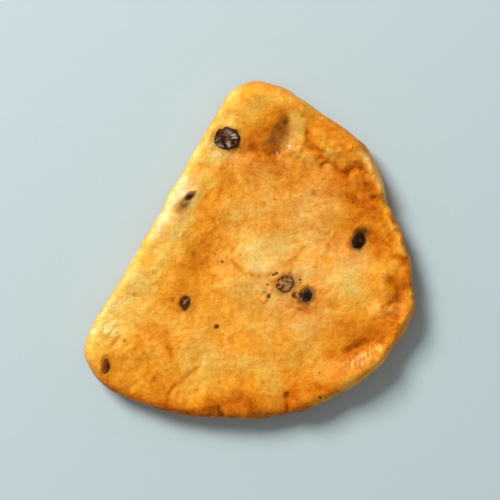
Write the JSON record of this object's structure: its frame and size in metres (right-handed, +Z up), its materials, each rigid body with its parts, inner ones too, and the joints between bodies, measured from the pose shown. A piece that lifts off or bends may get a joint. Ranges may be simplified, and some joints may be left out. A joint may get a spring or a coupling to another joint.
{
  "type": "soybean cracker",
  "caption": "Thin puffed cracker, rounded three-cornered in plan with one straight cut side, with an uneven puffed rim and black sesame seeds baked into its glazed crust; it lies flat on its underside.",
  "frame": {"origin": "middle of the cracker's plan, on the surface that it lies on", "axes": "+Z up out of the shown face, +Y towards the narrow end, +X towards the curved side"},
  "size_m": [0.0436, 0.0446, 0.0058],
  "materials": {
    "crust": "golden orange baked crust with a thin satin soy glaze",
    "sesame": "black sesame hull, finely pitted, slightly oily"
  },
  "bodies": {
    "root": {"cracker": "crust"}
  },
  "joints": []
}
